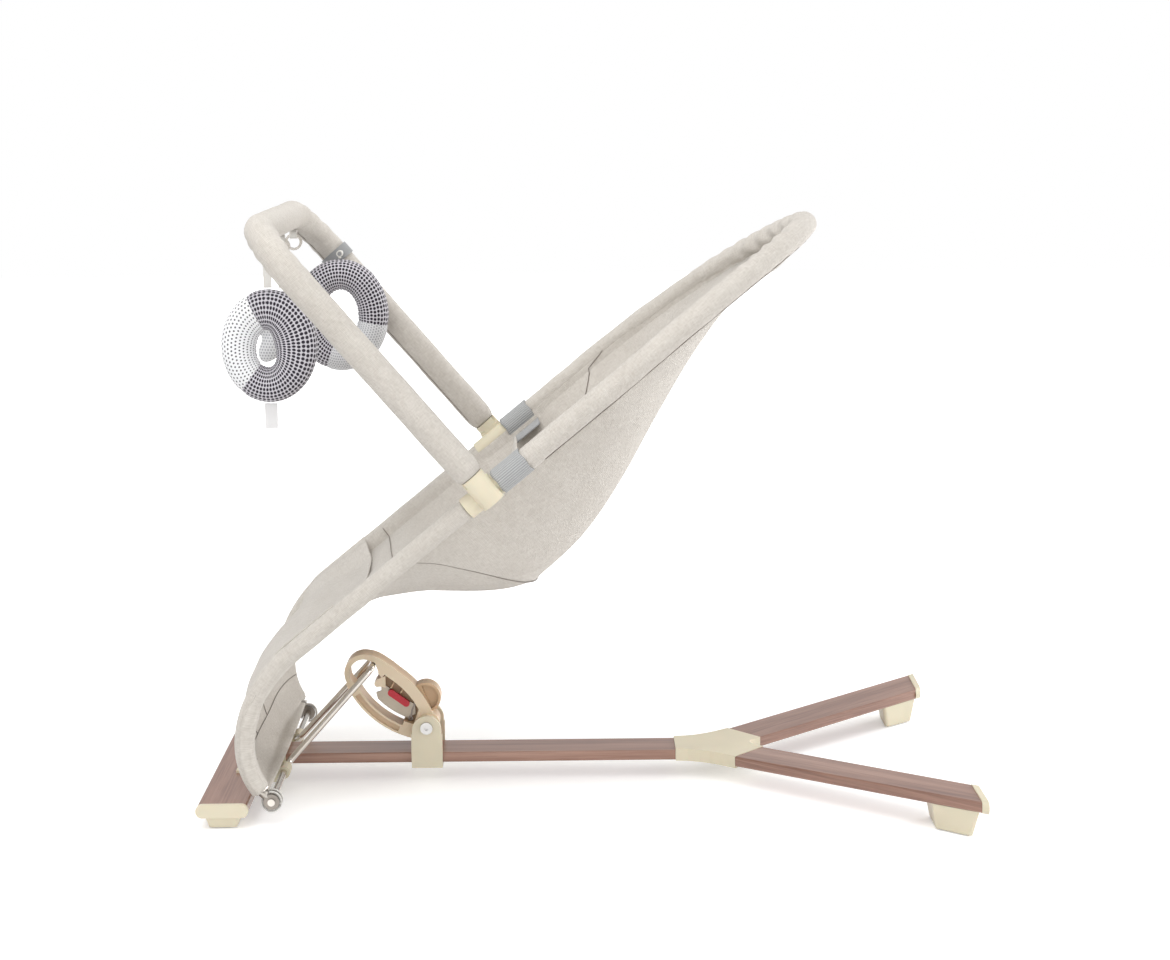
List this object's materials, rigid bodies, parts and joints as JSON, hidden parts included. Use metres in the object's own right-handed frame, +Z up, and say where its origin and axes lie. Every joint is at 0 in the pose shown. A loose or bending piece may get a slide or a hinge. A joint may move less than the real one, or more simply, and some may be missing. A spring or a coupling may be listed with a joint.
{
  "type": "bouncer seat",
  "caption": "Baby bouncer: reclined fabric seat on a bent steel tube frame over a forked wooden base, with a recline lever and a removable toy bar.",
  "frame": {"origin": "on the floor, below the middle of the base's bounding box", "axes": "+X from the foot end to the head end, +Y across the seat, +Z up"},
  "size_m": [0.784, 0.522, 0.6122],
  "materials": {
    "walnut": "satin oiled",
    "cream_plastic": "fine matte",
    "lever_plastic": "fine matte",
    "nickel": "polished",
    "steel_tube": "satin",
    "plate": "satin",
    "dark_wire": "dark",
    "red_plastic": "gloss",
    "pad_rubber": "matte",
    "cover_fabric": "woven",
    "webbing": "ribbed",
    "toy_fabric": "dotted",
    "star_fabric": "brushed",
    "white_tape": "plain"
  },
  "bodies": {
    "base": {"front_bar": "walnut", "spine_bar": "walnut", "rear_leg_left": "walnut", "rear_leg_right": "walnut", "fork_joint": "cream_plastic", "front_joint": "cream_plastic", "front_cap_left": "cream_plastic", "front_cap_right": "cream_plastic", "rear_cap_left": "cream_plastic", "rear_cap_right": "cream_plastic", "front_foot_left": "cream_plastic", "front_foot_right": "cream_plastic", "rear_foot_left": "cream_plastic", "rear_foot_right": "cream_plastic", "foot_pads": "pad_rubber", "base_screws": "nickel", "lever_bracket": "cream_plastic", "lever_bolt": "nickel"},
    "rod_frame": {"spring_rod": "nickel"},
    "lever": {"lever_frame": "lever_plastic", "notch_plate": "plate", "lever_spring": "dark_wire"},
    "lock": {"lock_slider": "red_plastic"},
    "seat": {"lower_rail_left": "steel_tube", "lower_rail_right": "steel_tube", "head_bow": "steel_tube", "socket_left": "cream_plastic", "socket_right": "cream_plastic", "rail_end_left": "cream_plastic", "rail_end_right": "cream_plastic", "lower_sleeve_left": "cover_fabric", "lower_sleeve_right": "cover_fabric", "bow_sleeve": "cover_fabric", "hammock": "cover_fabric", "foot_panel": "cover_fabric", "restraint_panel": "cover_fabric", "strap_left": "webbing", "strap_right": "webbing"},
    "toy_bar": {"toy_bar_tube": "steel_tube", "toy_bar_sleeve": "cover_fabric", "toy_bar_plugs": "cream_plastic", "toy_rings": "nickel", "ring_tabs": "cover_fabric", "far_arm_loop": "webbing"},
    "near_ring": {"near_ring_toy": "toy_fabric", "near_ring_strap": "white_tape", "near_ring_tag": "white_tape"},
    "star": {"star_toy": "star_fabric", "star_strap": "white_tape"},
    "far_ring": {"far_ring_toy": "toy_fabric", "far_ring_strap": "white_tape"}
  },
  "joints": [
    {"name": "recline", "type": "hinge", "parent": "base", "child": "rod_frame", "pos_m": [-0.317, 0, 0.025], "axis": [0, 1, 0], "range_deg": [0, 10]},
    {"name": "lever_turn", "type": "hinge", "parent": "base", "child": "lever", "pos_m": [-0.169, 0, 0.0595], "axis": [0, 1, 0], "range_deg": [0, 24]},
    {"name": "lock_slide", "type": "slide", "parent": "lever", "child": "lock", "axis": [0.809, 0, -0.5878], "range_m": [0, 0.004], "stiffness_N_per_m": 500, "springref_m": -0.002},
    {"name": "bounce", "type": "hinge", "parent": "rod_frame", "child": "seat", "pos_m": [-0.317, 0, 0.025], "axis": [0, 1, 0], "range_deg": [0, 11], "stiffness_Nm_per_rad": 100, "springref_deg": -5.73},
    {"name": "toy_bar_lift", "type": "slide", "parent": "seat", "child": "toy_bar", "axis": [-0.6521, 0, 0.7581], "range_m": [0, 0.05]},
    {"name": "near_ring_swing", "type": "hinge", "parent": "toy_bar", "child": "near_ring", "pos_m": [-0.31618, -0.092, 0.56951], "axis": [0, 1, 0], "range_deg": [-40, 40]},
    {"name": "star_swing", "type": "hinge", "parent": "toy_bar", "child": "star", "pos_m": [-0.31618, 0.032, 0.56951], "axis": [0, 1, 0], "range_deg": [-40, 40]},
    {"name": "far_ring_swing", "type": "hinge", "parent": "toy_bar", "child": "far_ring", "pos_m": [-0.2667, 0.1565, 0.55251], "axis": [0, 1, 0], "range_deg": [-40, 12]}
  ],
  "couplings": [
    {"joint": "lever_turn", "follows": "recline", "ratio": 2.4}
  ]
}
